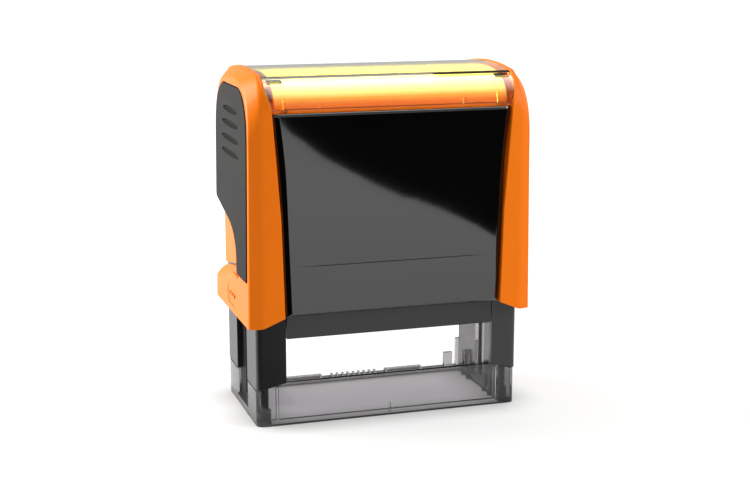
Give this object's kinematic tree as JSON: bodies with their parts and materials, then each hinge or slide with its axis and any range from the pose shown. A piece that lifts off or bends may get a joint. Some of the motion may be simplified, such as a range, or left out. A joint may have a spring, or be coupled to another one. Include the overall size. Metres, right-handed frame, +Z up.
{
  "type": "self-inking stamp",
  "caption": "Self-inking stamp: orange cap with grey side grips and a glossy black front slides down over a clear base while the text plate flips from ink pad to paper.",
  "frame": {"origin": "on the table, under the centre of the stamp's base", "axes": "+X to the right seen from the front panel, +Y to the rear where the ink cartridge comes out, +Z up along the cap's travel"},
  "size_m": [0.0768, 0.044, 0.0917],
  "materials": {
    "orange_gloss": "smooth moulded, slightly glossy",
    "gloss_black": "mirror gloss",
    "frame_black": "satin moulded",
    "soft_grey": "soft-touch, fine texture",
    "smoke_clear": "clear plastic with a light smoke tint",
    "amber_clear": "clear plastic with an amber tint",
    "steel": "drawn spring wire and pin stock",
    "white_card": "paper card",
    "ink_felt": "felt soaked in black ink",
    "die_rubber": "engraved stamp rubber",
    "foam": "closed-cell foam"
  },
  "bodies": {
    "base": {"clear_base": "smoke_clear", "right_end_frame": "frame_black", "left_end_frame": "frame_black", "front_crossbar": "frame_black", "rear_crossbar": "frame_black", "pad_deck": "frame_black", "return_spring": "steel", "spring_post": "frame_black"},
    "ink_cartridge": {"ink_cartridge": "frame_black", "cartridge_lid": "frame_black", "ink_pad": "ink_felt"},
    "cap": {"cap_core": "orange_gloss", "right_cheek": "orange_gloss", "left_cheek": "orange_gloss", "right_grip": "soft_grey", "left_grip": "soft_grey", "front_panel": "gloss_black", "rear_panel": "gloss_black", "rear_bar": "orange_gloss", "spring_cup": "frame_black", "index_card": "white_card", "right_axle_arm": "frame_black", "left_axle_arm": "frame_black"},
    "index_window": {"index_window": "amber_clear"},
    "text_plate": {"plate_carrier": "frame_black", "right_axle_pin": "steel", "left_axle_pin": "steel", "right_flip_cam": "frame_black", "left_flip_cam": "frame_black", "foam_cushion": "foam", "rubber_die": "die_rubber"},
    "right_lock_button": {"right_lock_button": "orange_gloss"},
    "left_lock_button": {"left_lock_button": "orange_gloss"}
  },
  "joints": [
    {"name": "cap_press", "type": "slide", "parent": "base", "child": "cap", "axis": [0, 0, 1], "range_m": [-0.0238, 0], "stiffness_N_per_m": 600, "springref_m": 0.006, "deforming": ["return_spring"]},
    {"name": "text_plate_flip", "type": "hinge", "parent": "cap", "child": "text_plate", "pos_m": [0, 0, 0.0296], "axis": [1, 0, 0], "range_deg": [0, 180]},
    {"name": "ink_cartridge_slide", "type": "slide", "parent": "base", "child": "ink_cartridge", "axis": [0, 1, 0], "range_m": [0, 0.04]},
    {"name": "index_window_lift", "type": "slide", "parent": "cap", "child": "index_window", "axis": [0, 0, 1], "range_m": [0, 0.012]},
    {"name": "right_lock_press", "type": "slide", "parent": "cap", "child": "right_lock_button", "axis": [-1, 0, 0], "range_m": [0, 0.0011], "stiffness_N_per_m": 900, "springref_m": -0.0006},
    {"name": "left_lock_press", "type": "slide", "parent": "cap", "child": "left_lock_button", "axis": [1, 0, 0], "range_m": [0, 0.0011], "stiffness_N_per_m": 900, "springref_m": -0.0006}
  ],
  "couplings": [
    {"joint": "text_plate_flip", "follows": "cap_press", "rad_per_m": -131.99}
  ]
}
